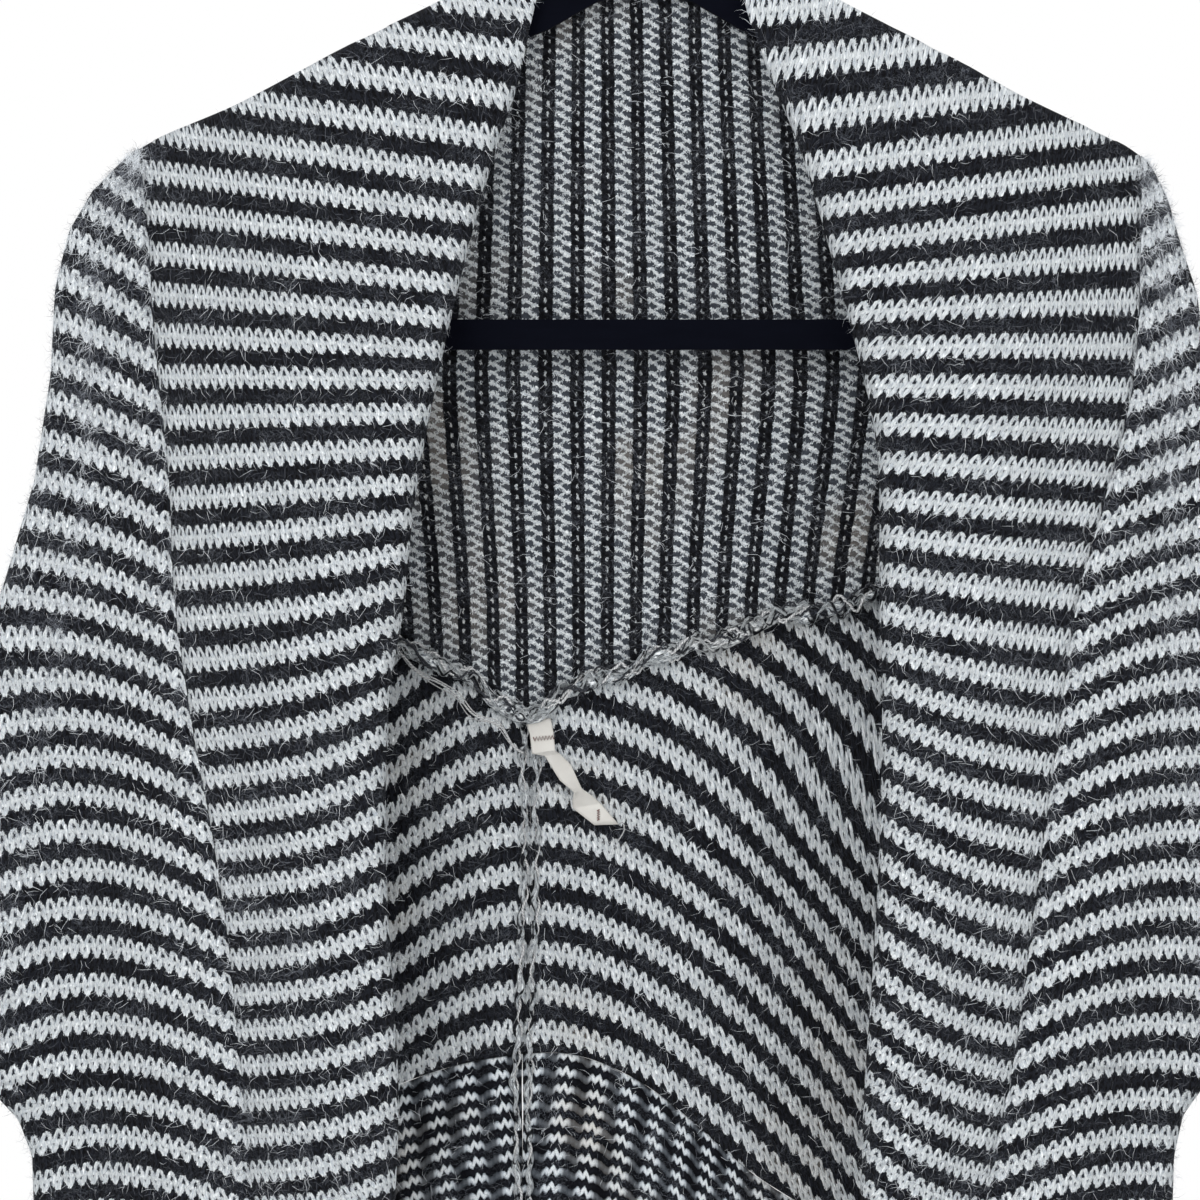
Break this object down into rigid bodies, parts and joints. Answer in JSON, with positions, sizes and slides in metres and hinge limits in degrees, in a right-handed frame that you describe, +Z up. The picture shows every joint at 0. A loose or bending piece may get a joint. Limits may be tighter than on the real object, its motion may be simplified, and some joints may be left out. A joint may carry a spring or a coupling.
{
  "type": "open-front cardigan on a clothes hanger",
  "caption": "Open-front striped knit cardigan with batwing sleeves, rolled front edges and ribbed hem and cuffs, hanging on a slim velvet clothes hanger with a wire hook.",
  "frame": {"origin": "inside of the hook's bend, where a rail carries it", "axes": "+Z up, -Y towards the open front, +X to the right of someone who faces it"},
  "size_m": [0.7524, 0.0707, 0.7452],
  "materials": {
    "striped_knit": "brushed knit, white and near-black stripes",
    "striped_rib": "brushed rib, fine white and near-black rows",
    "tape": "off-white tape with one dark red stitched line",
    "velvet": "black velvet flock",
    "hook_wire": "polished wire"
  },
  "bodies": {
    "root": {"front_left": "striped_knit", "front_right": "striped_knit", "sleeve_left": "striped_knit", "sleeve_right": "striped_knit", "back_lower_left": "striped_knit", "back_lower_right": "striped_knit", "back_yoke": "striped_knit", "hem_band_left": "striped_rib", "hem_band_right": "striped_rib", "cuff_left": "striped_rib", "cuff_right": "striped_rib", "label_tape": "tape", "hanger_body": "velvet", "hanger_hook": "hook_wire"}
  },
  "joints": []
}
